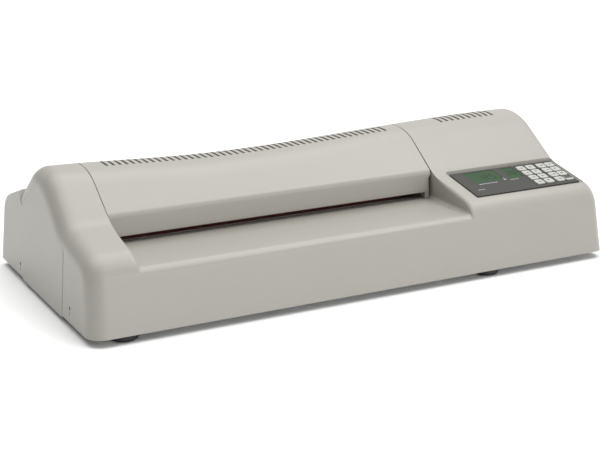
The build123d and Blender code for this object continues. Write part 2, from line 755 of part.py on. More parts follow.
def base_plate():
    edge = 262.0
    plate = box(-edge, edge, -125, 125, base_z, base_z + base_thickness)
    for x in (-edge, edge - base_thickness):
        plate += box(x, x + base_thickness, -112, 100, base_z, base_z + 12)
    for x, y in feet_places:
        plate -= rod_z(x, y, 0, 20, 3.85)
    for x, y in boss_front + boss_rear + frame_screws_left + frame_screws_right:
        plate -= rod_z(x, y, 0, 20, screw_hole)
    for row in range(3):
        for i in range(16):
            x = -150 + i * 12
            plate -= box(x - 2, x + 2, -50 + row * 40, -24 + row * 40, 0, 20)
    return plate


def screws_up(places, reach):
    """Pan head screws driven up through the base plate."""
    group = []
    for x, y in places:
        head = rod_z(x, y, base_z - 1.8, base_z, 3.2)
        head = fillet(head.faces().sort_by(Axis.Z)[0].edges(), 0.9)
        head -= box(x - 2.4, x + 2.4, y - 0.35, y + 0.35, base_z - 2, base_z - 1.0)
        group.append(head + rod_z(x, y, base_z, base_z + reach, 1.5))
    return group


def housing_screws():
    group = screws_up(boss_front + boss_rear, 16)
    for y, z in (side_screws_front, side_screws_rear):
        for side, draft in ((-1, left_draft), (1, right_draft)):
            x = side * (right - 0.8 - draft * (z - skirt_z))
            inner = x - side * 6
            group.append(rod_x(min(x, inner), max(x, inner), y, z, 1.75))
    return Compound(group)


def frame_screws():
    return Compound(screws_up(frame_screws_left + frame_screws_right, 5))


def power_switch_frame():
    face = fitting_face_y
    frame = box(switch_x - 8, switch_x + 8, face, face + 1.8, power_z - 11.5, power_z + 11.5)
    frame += box(switch_x - 6.4, switch_x + 6.4, face - 16, face, power_z - 9.6, power_z + 9.6)
    frame -= box(switch_x - 5.4, switch_x + 5.4, face - 6, face + 5, power_z - 8.8, power_z + 8.8)
    return frame - rod_x(switch_x - 6.2, switch_x + 6.2, rocker_y, power_z, 1.25)


def power_rocker():
    """A rocker with two faces that meet at a shallow angle, resting in its off position."""
    tilt = radians(rocker_tilt)
    reach = 8.2
    corners = [(-2.6, -reach + 1), (reach * tan(tilt) + 1.4, -reach), (1.4, 0),
               (reach * tan(tilt) + 1.4, reach), (-2.6, reach - 1)]
    body = slab_x(switch_x - 5.1, switch_x + 5.1, corners)
    body += rod_x(switch_x - 6.0, switch_x + 6.0, 0, 0, 1.2)
    return Pos(0, rocker_y, power_z) * Rot(rocker_tilt, 0, 0) * body


def mains_inlet():
    """A three pin inlet with a flange, open at the rear."""
    face = fitting_face_y
    body = box(inlet_x - 16, inlet_x + 16, face, face + 2.2, power_z - 12, power_z + 12)
    body += box(inlet_x - 13.5, inlet_x + 13.5, face - 22, face, power_z - 10, power_z + 10)
    cavity = box(inlet_x - 12, inlet_x + 12, face - 15, face + 5, power_z - 8.2, power_z + 8.2)
    cavity = chamfer(cavity.edges().filter_by(Axis.Y).group_by(Axis.Z)[-1], 4)
    body -= cavity
    for x, z in ((-7, -2), (7, -2), (0, 2.5)):
        body += box(inlet_x + x - 1, inlet_x + x + 1, face - 20, face - 2.6, power_z + z - 2, power_z + z + 2)
    return body


write("front_housing", front_housing())
write("centre_cover", centre_cover())
write("rear_housing", rear_housing())
write("control_panel", control_panel())
write("display_lenses", display_lenses())
for row in range(4):
    for column in range(4):
        write(f"key_r{row + 1}c{column + 1}", key(row, column))
write("control_board", control_board())
write("power_board", power_board())
write("transformer", transformer())
write("ribbon_cable", ribbon_cable())
for name, (y, z, phase) in rollers.items():
    write(f"{name}_core", roller_core(y, z))
    write(f"{name}_sleeve", roller_sleeve(y, z))
    write(f"{name}_gear", gear(roller_teeth, journal, phase, gear_x, y, z))
write("side_frame_left", side_frame(-1))
write("side_frame_right", side_frame(1))
write("lower_bushes", lower_bushes())
write("heat_upper_bushes", upper_bushes(heat_y))
write("pull_upper_bushes", upper_bushes(pull_y))
write("heat_springs", lift_springs(heat_y))
write("pull_springs", lift_springs(pull_y))
write("lower_heat_plate", heat_plate(tray_z - heat_plate_height, tray_z, -1))
write("upper_heat_plate", heat_plate(lip_z + 0.4, lip_z + 0.5 + heat_plate_height, 1))
write("idler_gear", gear(roller_teeth, stud_radius + shaft_clearance, idler_phase, gear_x, *idler_place))
write("idler_stud", idler_stud())
write("motor_pinion", motor_pinion())
write("gear_motor", gear_motor())
write("fan_frame", fan_frame())
write("fan_rotor", fan_rotor())
write("rubber_feet", rubber_feet())
write("base_plate", base_plate())
write("housing_screws", housing_screws())
write("frame_screws", frame_screws())
write("power_switch_frame", power_switch_frame())
write("power_rocker", power_rocker())
write("mains_inlet", mains_inlet())
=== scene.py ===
import json
from math import acos, atan, cos, degrees, pi, radians, sin, sqrt, tan

import bpy
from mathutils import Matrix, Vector
from mathutils.geometry import delaunay_2d_cdt


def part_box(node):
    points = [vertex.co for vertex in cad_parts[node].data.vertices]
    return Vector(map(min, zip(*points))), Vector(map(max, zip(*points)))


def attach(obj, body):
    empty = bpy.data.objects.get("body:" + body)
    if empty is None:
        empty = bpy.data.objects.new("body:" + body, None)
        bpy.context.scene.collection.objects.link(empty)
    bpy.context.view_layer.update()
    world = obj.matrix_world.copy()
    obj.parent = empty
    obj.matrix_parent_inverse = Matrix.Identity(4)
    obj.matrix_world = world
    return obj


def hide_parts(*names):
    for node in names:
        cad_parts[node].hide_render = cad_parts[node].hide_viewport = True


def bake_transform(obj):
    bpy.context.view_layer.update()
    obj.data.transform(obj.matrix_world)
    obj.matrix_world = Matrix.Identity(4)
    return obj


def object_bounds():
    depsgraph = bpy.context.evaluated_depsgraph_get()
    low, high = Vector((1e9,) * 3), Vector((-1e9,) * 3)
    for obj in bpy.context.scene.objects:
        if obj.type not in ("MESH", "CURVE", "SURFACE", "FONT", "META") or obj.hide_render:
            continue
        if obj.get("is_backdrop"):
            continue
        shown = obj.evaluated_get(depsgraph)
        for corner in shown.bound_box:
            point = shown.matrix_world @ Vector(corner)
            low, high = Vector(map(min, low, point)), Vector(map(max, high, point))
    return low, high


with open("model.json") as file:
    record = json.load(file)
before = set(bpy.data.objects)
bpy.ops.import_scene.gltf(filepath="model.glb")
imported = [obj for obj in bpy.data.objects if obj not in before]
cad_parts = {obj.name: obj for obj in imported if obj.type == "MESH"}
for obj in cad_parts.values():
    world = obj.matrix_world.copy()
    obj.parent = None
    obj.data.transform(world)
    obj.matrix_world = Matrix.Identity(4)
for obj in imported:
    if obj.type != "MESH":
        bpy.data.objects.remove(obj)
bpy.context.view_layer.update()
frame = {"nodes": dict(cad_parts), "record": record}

nodes = frame["nodes"]
scene = bpy.context.scene
MM = 0.001

# ---------------------------------------------------------------- camera

camera_data = bpy.data.cameras.new("camera")
camera_data.lens = 82.49
camera_data.sensor_width = 36.0
camera = bpy.data.objects.new("camera", camera_data)
camera.location = (-0.61621, -1.15451, 0.43343)
camera.rotation_euler = (radians(73.1315), radians(-0.0584), radians(-27.8466))
scene.collection.objects.link(camera)
scene.camera = camera

# ---------------------------------------------------------------- light and floor


def area_light(name, location, size, power, target=(0, 0, 0.05)):
    data = bpy.data.lights.new(name, "AREA")
    data.shape = "RECTANGLE"
    data.size, data.size_y = size
    data.energy = power
    lamp = bpy.data.objects.new(name, data)
    lamp.location = location
    lamp.rotation_euler = (Vector(target) - Vector(location)).to_track_quat("-Z", "Y").to_euler()
    scene.collection.objects.link(lamp)
    return lamp


area_light("overhead", (0.0, 0.4, 2.2), (3.0, 2.4), 52)
area_light("strip", (0.9, -0.6, 1.8), (1.8, 0.2), 8)
area_light("front_fill", (0.6, -2.2, 0.55), (1.6, 0.7), 9)

# The sky is dimmer on the left.
world = bpy.data.worlds.new("studio")
world.use_nodes = True
sky = world.node_tree
toward = sky.nodes.new("ShaderNodeTexCoord")
split = sky.nodes.new("ShaderNodeSeparateXYZ")
level = sky.nodes.new("ShaderNodeMapRange")
for socket, value in (("From Min", -1.0), ("From Max", 1.0), ("To Min", 0.2), ("To Max", 1.1)):
    level.inputs[socket].default_value = value
sky.links.new(toward.outputs["Generated"], split.inputs["Vector"])
sky.links.new(split.outputs["X"], level.inputs["Value"])
sky.links.new(level.outputs["Result"], sky.nodes["Background"].inputs["Strength"])
sky.nodes["Background"].inputs["Color"].default_value = (1, 1, 1, 1)
scene.world = world
scene.view_settings.view_transform = "Standard"

# ---------------------------------------------------------------- materials


def plastic(name, color, roughness=0.4, grain=0.12, grain_scale=1400.0, tone=0.03, specular=0.5):
    """Moulded plastic: a fine eroded grain, faint tone drift and uneven gloss."""
    material = bpy.data.materials.new(name)
    material.use_nodes = True
    tree = material.node_tree
    shader = tree.nodes["Principled BSDF"]
    shader.inputs["Specular IOR Level"].default_value = specular
    place = tree.nodes.new("ShaderNodeTexCoord")

    def noise(scale, detail):
        node = tree.nodes.new("ShaderNodeTexNoise")
        node.inputs["Scale"].default_value = scale
        node.inputs["Detail"].default_value = detail
        tree.links.new(place.outputs["Object"], node.inputs["Vector"])
        return node

    def ramp(source, low, high):
        node = tree.nodes.new("ShaderNodeMapRange")
        node.inputs["To Min"].default_value = low
        node.inputs["To Max"].default_value = high
        tree.links.new(source, node.inputs["Value"])
        return node.outputs["Result"]

    drift = noise(9.0, 3.0)
    mix = tree.nodes.new("ShaderNodeMix")
    mix.data_type = "RGBA"
    mix.inputs["A"].default_value = (*[c * (1 - tone) for c in color], 1)
    mix.inputs["B"].default_value = (*[min(1, c * (1 + tone)) for c in color], 1)
    tree.links.new(drift.outputs["Fac"], mix.inputs["Factor"])
    tree.links.new(mix.outputs["Result"], shader.inputs["Base Color"])
    gloss = noise(60.0, 2.0)
    uneven = ramp(gloss.outputs["Fac"], roughness - 0.04, roughness + 0.04)
    tree.links.new(uneven, shader.inputs["Roughness"])
    if grain:
        fine = noise(grain_scale, 2.0)
        bump = tree.nodes.new("ShaderNodeBump")
        bump.inputs["Strength"].default_value = grain
        bump.inputs["Distance"].default_value = 0.0001
        tree.links.new(fine.outputs["Fac"], bump.inputs["Height"])
        tree.links.new(bump.outputs["Normal"], shader.inputs["Normal"])
    return material


def metal(name, color, roughness=0.35, stretch=(1.0, 60.0, 60.0)):
    """Metal with fine streaks along one axis."""
    material = plastic(name, color, roughness, grain=0.0)
    tree = material.node_tree
    tree.nodes["Principled BSDF"].inputs["Metallic"].default_value = 1.0
    place = tree.nodes.new("ShaderNodeMapping")
    place.inputs["Scale"].default_value = stretch
    where = tree.nodes.new("ShaderNodeTexCoord")
    tree.links.new(where.outputs["Object"], place.inputs["Vector"])
    streaks = tree.nodes.new("ShaderNodeTexNoise")
    streaks.inputs["Scale"].default_value = 40.0
    tree.links.new(place.outputs["Vector"], streaks.inputs["Vector"])
    bump = tree.nodes.new("ShaderNodeBump")
    bump.inputs["Strength"].default_value = 0.15
    bump.inputs["Distance"].default_value = 0.0001
    tree.links.new(streaks.outputs["Fac"], bump.inputs["Height"])
    tree.links.new(bump.outputs["Normal"], tree.nodes["Principled BSDF"].inputs["Normal"])
    return material


shell_color = (0.33, 0.317, 0.285)
key_color = (0.42, 0.425, 0.40)
looks = {
    "housing": plastic("housing_plastic", shell_color, 0.36),
    "cover": plastic("cover_plastic", shell_color, 0.36),
    "label": plastic("label_film", (0.042, 0.041, 0.038), 0.42, grain=0.05, specular=0.22),
    "lens": plastic("lens_green", (0.011, 0.052, 0.011), 0.3, grain=0.0, specular=0.2),
    "keycap": plastic("keycap_plastic", key_color, 0.4, grain=0.08),
    "board": plastic("board_mask", (0.03, 0.16, 0.06), 0.3, grain=0.05),
    "iron": plastic("core_varnish", (0.06, 0.06, 0.07), 0.35),
    "ribbon": plastic("ribbon_sleeve", (0.35, 0.36, 0.38), 0.5),
    "steel": metal("plated_sheet", (0.60, 0.61, 0.62), 0.38),
    "shaft": metal("ground_shaft", (0.62, 0.63, 0.64), 0.22, (60.0, 1.0, 1.0)),
    "silicone": plastic("silicone_red", (0.45, 0.07, 0.03), 0.45, grain_scale=900.0),
    "gear": plastic("acetal", (0.72, 0.71, 0.66), 0.35),
    "bush": plastic("filled_nylon", (0.03, 0.03, 0.032), 0.45),
    "spring": metal("spring_wire", (0.45, 0.45, 0.46), 0.3),
    "aluminium": metal("drawn_aluminium", (0.66, 0.67, 0.68), 0.33, (1.0, 60.0, 60.0)),
    "motor": metal("motor_can", (0.48, 0.49, 0.50), 0.35),
    "black": plastic("black_nylon", (0.012, 0.012, 0.013), 0.38),
    "rubber": plastic("black_rubber", (0.012, 0.012, 0.012), 0.6, grain=0.3, grain_scale=700.0),
    "screw": metal("plated_screw", (0.40, 0.40, 0.41), 0.35),
}
white_ink = plastic("white_ink", (0.34, 0.36, 0.35), 0.5, grain=0.0)
dark_ink = plastic("dark_ink", (0.045, 0.05, 0.045), 0.5, grain=0.0)
segment_ink = plastic("segment_green", (0.003, 0.012, 0.003), 0.3, grain=0.0, specular=0.15)

# The floor is plain, and pale enough to merge with the sky.
floor_mesh = bpy.data.meshes.new("floor")
floor_mesh.from_pydata([(-6, -6, 0), (6, -6, 0), (6, 6, 0), (-6, 6, 0)], [], [(0, 1, 2, 3)])
floor = bpy.data.objects.new("floor", floor_mesh)
floor_look = plastic("floor_paper", (0.97, 0.97, 0.965), 0.85, grain=0.0, tone=0.0, specular=0.1)
floor.data.materials.append(floor_look)
scene.collection.objects.link(floor)
floor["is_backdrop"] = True

# ---------------------------------------------------------------- mesh helpers


def crease_group(angle):
    """Smooth shading everywhere except along edges sharper than the angle."""
    group = bpy.data.node_groups.new(f"crease_{round(degrees(angle))}", "GeometryNodeTree")
    group.is_modifier = True
    group.interface.new_socket("Geometry", in_out="INPUT", socket_type="NodeSocketGeometry")
    group.interface.new_socket("Geometry", in_out="OUTPUT", socket_type="NodeSocketGeometry")
    start, end = group.nodes.new("NodeGroupInput"), group.nodes.new("NodeGroupOutput")
    faces = group.nodes.new("GeometryNodeSetShadeSmooth")
    edges = group.nodes.new("GeometryNodeSetShadeSmooth")
    edges.domain = "EDGE"
    edges.inputs["Shade Smooth"].default_value = False
    turn = group.nodes.new("GeometryNodeInputMeshEdgeAngle")
    sharp = group.nodes.new("FunctionNodeCompare")
    sharp.inputs["B"].default_value = angle
    group.links.new(turn.outputs["Unsigned Angle"], sharp.inputs["A"])
    group.links.new(start.outputs[0], faces.inputs["Geometry"])
    group.links.new(faces.outputs["Geometry"], edges.inputs["Geometry"])
    group.links.new(sharp.outputs["Result"], edges.inputs["Selection"])
    group.links.new(edges.outputs["Geometry"], end.inputs[0])
    return group


creases = {35: crease_group(radians(35)), 50: crease_group(radians(50))}


def soften(thing, limit=35):
    weld = thing.modifiers.new("weld", "WELD")
    weld.merge_threshold = 2e-6
    thing.modifiers.new("crease", "NODES").node_group = creases[limit]
    normals = thing.modifiers.new("normals", "WEIGHTED_NORMAL")
    normals.keep_sharp = True


def encloses(loop, spot):
    crossings = 0
    for (y0, z0), (y1, z1) in zip(loop, loop[1:] + loop[:1]):
        if (z0 > spot.y) != (z1 > spot.y) and spot.x < y0 + (y1 - y0) * (spot.y - z0) / (z1 - z0):
            crossings += 1
    return crossings % 2 == 1


class Sheet:
    """Collects points and faces in millimetres, joining points that coincide."""

    def __init__(self):
        self.points, self.index, self.faces = [], {}, []

    def add(self, point):
        key = tuple(round(c, 4) for c in point)
        if key not in self.index:
            self.index[key] = len(self.points)
            self.points.append(point)
        return self.index[key]

    def face(self, ring):
        ids = []
        for point in ring:
            i = self.add(point)
            if i not in ids:
                ids.append(i)
        if len(ids) > 2:
            self.faces.append(ids)

    def grid(self, rows, skip=None):
        """Quads between rows of points, except where skip(row, column) is true."""
        for i, (a, b) in enumerate(zip(rows, rows[1:])):
            for k in range(len(a) - 1):
                if not (skip and skip(i, k)):
                    self.face((a[k], a[k + 1], b[k + 1], b[k]))

    def flat(self, side, loops):
        """A part of an end face from loops of (y, z): its outline, then its holes."""
        edges, start = [], 0
        for loop in loops:
            edges += [(start + i, start + (i + 1) % len(loop)) for i in range(len(loop))]
            start += len(loop)
        spots = [Vector(p) for loop in loops for p in loop]
        spots, _, triangles, *_ = delaunay_2d_cdt(spots, edges, [], 1, 1e-5)
        for ring in triangles:
            centre = (spots[ring[0]] + spots[ring[1]] + spots[ring[2]]) / 3
            if not any(encloses(loop, centre) for loop in loops[1:]):
                corners = [(end_x(side, spots[i].y), spots[i].x, spots[i].y) for i in ring]
                self.face(corners if side > 0 else corners[::-1])

    def build(self, name, material, thickness=0.0):
        mesh = bpy.data.meshes.new(name)
        mesh.from_pydata([tuple(c * MM for c in p) for p in self.points], [], self.faces)
        mesh.materials.append(material)
        thing = bpy.data.objects.new(name, mesh)
        scene.collection.objects.link(thing)
        if thickness:
            solid = thing.modifiers.new("wall", "SOLIDIFY")
            solid.thickness = thickness * MM
            solid.offset = -1.0
        return thing


# ---------------------------------------------------------------- the machine's form, in millimetres

# A corner is the (y, z) where two straight stretches would meet, with the radius that rounds it.
LEFT, RIGHT, FRONT, FLOOR = -272.0, 272.0, -131.0, 7.0
FRONT_LEAN = 0.199
SHOULDER, SHOULDER_RADIUS = (-118.3, 70.9), 26.0
SLOPE_FOOT, SLOPE_FOOT_RADIUS = (-50.3, 84.7), 40.0
CONTROL_SLOPE = (SLOPE_FOOT[1] - SHOULDER[1]) / (SLOPE_FOOT[0] - SHOULDER[0])
DOME_FRONT_SLOPE, DOME_FRONT_RADIUS = 0.69, 56.0
DOME_REAR_Y, DOME_REAR_SLOPE, DOME_REAR_RADIUS = 40.0, 0.854, 38.0
CREST_LEFT, CREST_LOW, CREST_RIGHT = 120.6, 114.5, 123.8
CREST_LOW_X, CREST_RIGHT_X = -79.0, 238.0
COVER_LEFT, COVER_RIGHT = -222.0, 118.0
TRAY_Z, TRAY_RADIUS, TRAY_END_Y = 61.0, 9.0, -38.5
LIP_Y, LIP_Z = -46.4, 67.6
CREASE, CREASE_RADIUS = (-44.6, 88.0), 7.0
SHELF_Y, SHELF_Z, SHELF_SLOPE = 67.0, 92.0, 0.356
# For each end: its x at the skirt, its draft and the radius of its edge.
ENDS = {-1: (LEFT, 0.073, 15.5), 1: (RIGHT, 0.04, 10.0)}
SKIRT_Z = 5.2
SEAM, LOWER_SEAM, SEAM_Y, SEAM_INSET = 0.5, 1.1, -55.4, 16.0
WALL = 2.5
VENT_WIDTH, VENT_FRONT, VENT_REAR = 2.8, 12.0, 54.0
HOUSING_VENTS = [167.0 + 7.1 * i for i in range(10)]
COVER_VENTS = [-200.0 + 6.65 * i for i in range(46)]
TRAY_COLUMNS = (-160.0, -52.0, 56.0)
LIP_END_GAP, POST_WIDTH, COVER_EDGE = 2.5, 4.5, 0.3
WEB_THICKNESS, WEB_DEPTH, WEB_INSET, WEB_INNER_X = 1.2, 17.0, 1.7, 249.0
LAST_ROW = 60.0
EDGE_ROLL, EDGE_ROLL_FRONT, FOOT_SWEEP = 0.45, 4.2, 3.5
SCREW_Y, SCREW_Z, SCREW_RADIUS = -76.0, 20.0, 1.8
SLIT_HALF, SLIT_LOW, SLIT_HIGH = 0.5, 13.0, 17.5
PANEL_X, PANEL_Y, PANEL_W, PANEL_D = 197.0, -77.0, 124.0, 51.0
RECESS_DEPTH, RECESS_MARGIN, RECESS_CORNER, RECESS_STEP = 1.6, 3.5, 4.0, 0.35
half_w, half_d = PANEL_W / 2 + RECESS_MARGIN, PANEL_D / 2 + RECESS_MARGIN
TILT = atan(CONTROL_SLOPE)
PIPS = ((113.0, -56.7), (113.2, -85.4))


def crest(x):
    if x < CREST_LOW_X:
        rise, share = CREST_LEFT - CREST_LOW, (CREST_LOW_X - x) / (CREST_LOW_X - LEFT)
    else:
        rise, share = CREST_RIGHT - CREST_LOW, (x - CREST_LOW_X) / (CREST_RIGHT_X - CREST_LOW_X)
    return CREST_LOW + rise * (1 - cos(pi * min(share, 1))) / 2


def peak(x):
    return SLOPE_FOOT[0] + (crest(x) - SLOPE_FOOT[1]) / DOME_FRONT_SLOPE


def along(knots, y):
    """Height at y and slope there, on a line whose corners (place, slopes, radius) are rounded."""
    for (cy, cz), m0, m1, r in knots:
        a0, a1 = atan(m0), atan(m1)
        run = r * tan(abs(a1 - a0) / 2)
        y0, y1 = cy - run * cos(a0), cy + run * cos(a1)
        if y <= y0:
            return cz + m0 * (y - cy), m0
        if y < y1:
            way = 1 if m1 > m0 else -1
            yc, zc = y0 - way * sin(a0) * r, cz - run * sin(a0) + way * cos(a0) * r
            drop = sqrt(r * r - (y - yc) ** 2)
            return zc - way * drop, way * (y - yc) / drop
    return cz + m1 * (y - cy), m1


def housing(x, y):
    top = crest(x)
    return along([
        (SHOULDER, 1 / FRONT_LEAN, CONTROL_SLOPE, SHOULDER_RADIUS),
        (SLOPE_FOOT, CONTROL_SLOPE, DOME_FRONT_SLOPE, SLOPE_FOOT_RADIUS),
        ((peak(x), top), DOME_FRONT_SLOPE, 0.0, DOME_FRONT_RADIUS),
        ((DOME_REAR_Y, top), 0.0, -DOME_REAR_SLOPE, DOME_REAR_RADIUS),
    ], y)


def cover(x, y):
    top = crest(x)
    slope = (top - CREASE[1]) / (peak(x) - CREASE[0])
    face = (CREASE[1] - LIP_Z) / (CREASE[0] - LIP_Y)
    return along([
        (CREASE, face, slope, CREASE_RADIUS),
        ((peak(x), top), slope, 0.0, DOME_FRONT_RADIUS),
        ((DOME_REAR_Y, top), 0.0, -DOME_REAR_SLOPE, DOME_REAR_RADIUS),
    ], y)


def tray(y):
    corner = FRONT + FRONT_LEAN * (TRAY_Z - FLOOR)
    return along([((corner, TRAY_Z), 1 / FRONT_LEAN, 0.0, TRAY_RADIUS)], y)[0]


def rear_end(x):
    """Where the dome's rear slope comes down to the rear shelf, less the seam."""
    top = crest(x)
    level = SHELF_Z + SHELF_SLOPE * SHELF_Y - top - DOME_REAR_SLOPE * DOME_REAR_Y
    return -level / (DOME_REAR_SLOPE - SHELF_SLOPE) - SEAM / (DOME_REAR_SLOPE - SHELF_SLOPE)


def end_x(side, z):
    x, draft, _ = ENDS[side]
    return x - side * draft * (z - SKIRT_Z)


def sunk(x, y, inset):
    """The point at x, below the surface by the inset, square to it in (y, z)."""
    z, slope = housing(x, y)
    size = sqrt(1 + slope * slope)
    y, z = y + slope / size * inset, z - inset / size
    if z < FLOOR:
        y, z = y + (FLOOR - z) * FRONT_LEAN, FLOOR
    return y, z


def over_end(side, y, angle):
    """A point of the rounded end edge: 0 is on the end face and 90 degrees on the dome."""
    radius = ENDS[side][2]
    base = ENDS[side][0] - side * radius
    yy, zz = sunk(base, y, radius * (1 - sin(angle)))
    return end_x(side, zz) - side * radius * (1 - cos(angle)), yy, zz


def outer(side, x, y):
    """A point of the surface at x, where the end edge's rounding may have begun."""
    radius = ENDS[side][2]
    start = end_x(side, housing(x, y)[0]) - side * radius
    past = max(0.0, side * (x - start)) / radius
    yy, zz = sunk(x, y, radius * (1 - sqrt(1 - past * past)))
    return x, yy, zz


def smooth_step(t):
    t = min(max(t, 0.0), 1.0)
    return t * t * (3 - 2 * t)


FILLET_STEPS = 6
quarter = [i * pi / 2 / FILLET_STEPS for i in range(FILLET_STEPS + 1)]


def inner_edge(edge_x, toward_tray, y):
    """The rolled inner edge of a housing, from its surface to its inner side."""
    size = EDGE_ROLL + EDGE_ROLL_FRONT * smooth_step((LIP_Y - y) / 30)
    z = housing(edge_x, y)[0]
    drop = min(size, 0.55 * (z - tray(y))) if y <= LIP_Y else EDGE_ROLL
    return [(edge_x - toward_tray * size * (1 - sin(a)), y, z - drop * (1 - cos(a))) for a in quarter]


def into_tray(edge_x, toward_tray, y, level=None):
    """The foot of a housing's inner side, where it sweeps into the tray."""
    ground = tray(y)
    rise = (housing(edge_x, y)[0] if level is None else level) - ground
    lift = min(FOOT_SWEEP, 0.45 * rise)
    sweep = toward_tray * FOOT_SWEEP
    return [(edge_x + sweep * (1 - cos(a)), y, ground + lift * (1 - sin(a))) for a in quarter]


def recessed(point):
    """Sinks the bed of the control panel into the right housing and rounds its corners."""
    x, y, z = point
    across, up = x - PANEL_X, (y - PANEL_Y) / cos(TILT)
    inside = abs(across) < half_w - RECESS_STEP / 2 and abs(up) < half_d - RECESS_STEP / 2
    u, v = abs(across) - half_w + RECESS_CORNER, abs(up) - half_d + RECESS_CORNER
    if u > 0 and v > 0 and max(u, v) < 2 * RECESS_CORNER:
        fade = min(1.0, 2 - max(u, v) / RECESS_CORNER)
        pull_u = 1 - sqrt(max(0.0, 1 - v * v / (2 * RECESS_CORNER ** 2)))
        pull_v = 1 - sqrt(max(0.0, 1 - u * u / (2 * RECESS_CORNER ** 2)))
        across -= u * pull_u * fade * (1 if across > 0 else -1)
        up -= v * pull_v * fade * (1 if up > 0 else -1)
        x, y = PANEL_X + across, PANEL_Y + up * cos(TILT)
        point = outer(1, x, y)
    if inside:
        bed = SHOULDER[1] + CONTROL_SLOPE * (y - SHOULDER[0]) - RECESS_DEPTH / cos(TILT)
        return x, y, bed
    return point


def spread(low, high, step):
    count = max(1, round((high - low) / step))
    return [low + (high - low) * i / count for i in range(count + 1)]


def circle(y, z, radius, count=16):
    turns = [2 * pi * i / count for i in range(count)]
    return [(y + radius * cos(a), z + radius * sin(a)) for a in turns]


# Rows run from the front foot over the dome. Features give some of them.
hole_w, hole_d = (PANEL_W - 3) / 2, (PANEL_D - 4) / 2
bed_lines = [half_d, half_d - RECESS_STEP, half_d - 1.3, half_d - 2.6, half_d - RECESS_CORNER,
             half_d + 1.3, half_d + 2.6, half_d + RECESS_CORNER, hole_d]
panel_rows = [PANEL_Y + side * v * cos(TILT) for v in bed_lines for side in (-1, 1)]
seam_row = SEAM_Y - LOWER_SEAM - SEAM_INSET * sin(TILT)
arc_start, arc_end = -121.7, -101.3
rows_front = [FRONT, FRONT + FRONT_LEAN * 6, FRONT + FRONT_LEAN * 18, FRONT + FRONT_LEAN * 32]
rows_front += [arc_start + (arc_end - arc_start) * (i / 22) ** 1.5 for i in range(23)]
rows_front += spread(-99.5, -60.5, 3.0) + spread(-58.5, LIP_Y, 1.1) + [seam_row]
rows_front += [y for y in panel_rows if y <= LIP_Y]
rows_rear = [LIP_Y] + spread(-43.5, -25.0, 2.6) + spread(-23.0, LAST_ROW, 1.9) + [VENT_FRONT, VENT_REAR]
rows_rear += [y for y in panel_rows if y > LIP_Y]


def thinned(rows, keep):
    """Sorted rows without those that crowd the ones to keep."""
    kept = sorted(set(keep))
    for y in sorted(rows):
        if all(abs(y - k) > 0.3 for k in kept):
            kept = sorted(kept + [y])
    return kept


keep_front = [FRONT, arc_start, LIP_Y, seam_row] + [y for y in panel_rows if y <= LIP_Y]
rows_front = thinned(rows_front, keep_front)
keep_rear = [LIP_Y, VENT_FRONT, VENT_REAR] + [y for y in panel_rows if y > LIP_Y]
rows_rear = thinned(rows_rear, keep_rear)

vent_edges = [x + s * VENT_WIDTH / 2 for x in HOUSING_VENTS for s in (-1, 1)]
bed_columns = [half_w, half_w - RECESS_STEP, half_w - 1.3, half_w - 2.6, half_w - RECESS_CORNER, hole_w]
right_columns = sorted({PANEL_X + s * u for u in bed_columns for s in (-1, 1)} | set(vent_edges)
                       | {126.0, 129.0, 130.2, 140.0, 150.0, 160.0, 238.0, 246.0, 263.2})
left_columns = [-246.0, -242.0, -238.0, -234.0, -230.0, -227.4]
END_STEPS = 9


def left_columns_at(y):
    side = -1
    flat_y, flat_z = sunk(LEFT + ENDS[side][2], y, SEAM_INSET)
    row = [(end_x(side, flat_z), flat_y, flat_z)]
    row += [over_end(side, y, i * pi / 2 / END_STEPS) for i in range(END_STEPS + 1)]
    row += [outer(side, x, y) for x in left_columns]
    return row


def right_columns_at(y):
    side = 1
    row = [recessed(outer(side, x, y)) for x in right_columns]
    last = right_columns[-1]
    radius = ENDS[side][2]
    start = end_x(side, housing(last, y)[0]) - radius
    first = acos(max(0.0, last - start) / radius) if last > start else pi / 2
    steps = 7
    row += [over_end(side, y, first * (steps - i) / steps) for i in range(1, steps + 1)]
    flat_y, flat_z = sunk(RIGHT - radius, y, SEAM_INSET)
    return row + [(end_x(side, flat_z), flat_y, flat_z)]


def whole_row(y):
    left_edge, right_edge = inner_edge(COVER_LEFT, 1, y), inner_edge(COVER_RIGHT, -1, y)
    left_foot, right_foot = into_tray(COVER_LEFT, 1, y), into_tray(COVER_RIGHT, -1, y)
    middle = [(x, y, tray(y)) for x in TRAY_COLUMNS]
    return (left_columns_at(y) + left_edge + left_foot + middle + right_foot[::-1] + right_edge[::-1]
            + right_columns_at(y))


front_sheet = Sheet()
whole = [whole_row(y) for y in rows_front]
first_right = len(whole[0]) - len(right_columns_at(FRONT))


def between(value, low, high):
    return low - 0.01 < value < high + 0.01


def panel_hole(y0, y1, x0, x1):
    return (between((y0 + y1) / 2, PANEL_Y - hole_d * cos(TILT), PANEL_Y + hole_d * cos(TILT))
            and between((x0 + x1) / 2, PANEL_X - hole_w, PANEL_X + hole_w))


def skip_front(i, k):
    c = k - first_right
    if c < 0 or c + 1 >= len(right_columns):
        return False
    return panel_hole(rows_front[i], rows_front[i + 1], right_columns[c], right_columns[c + 1])


front_sheet.grid(whole, skip_front)

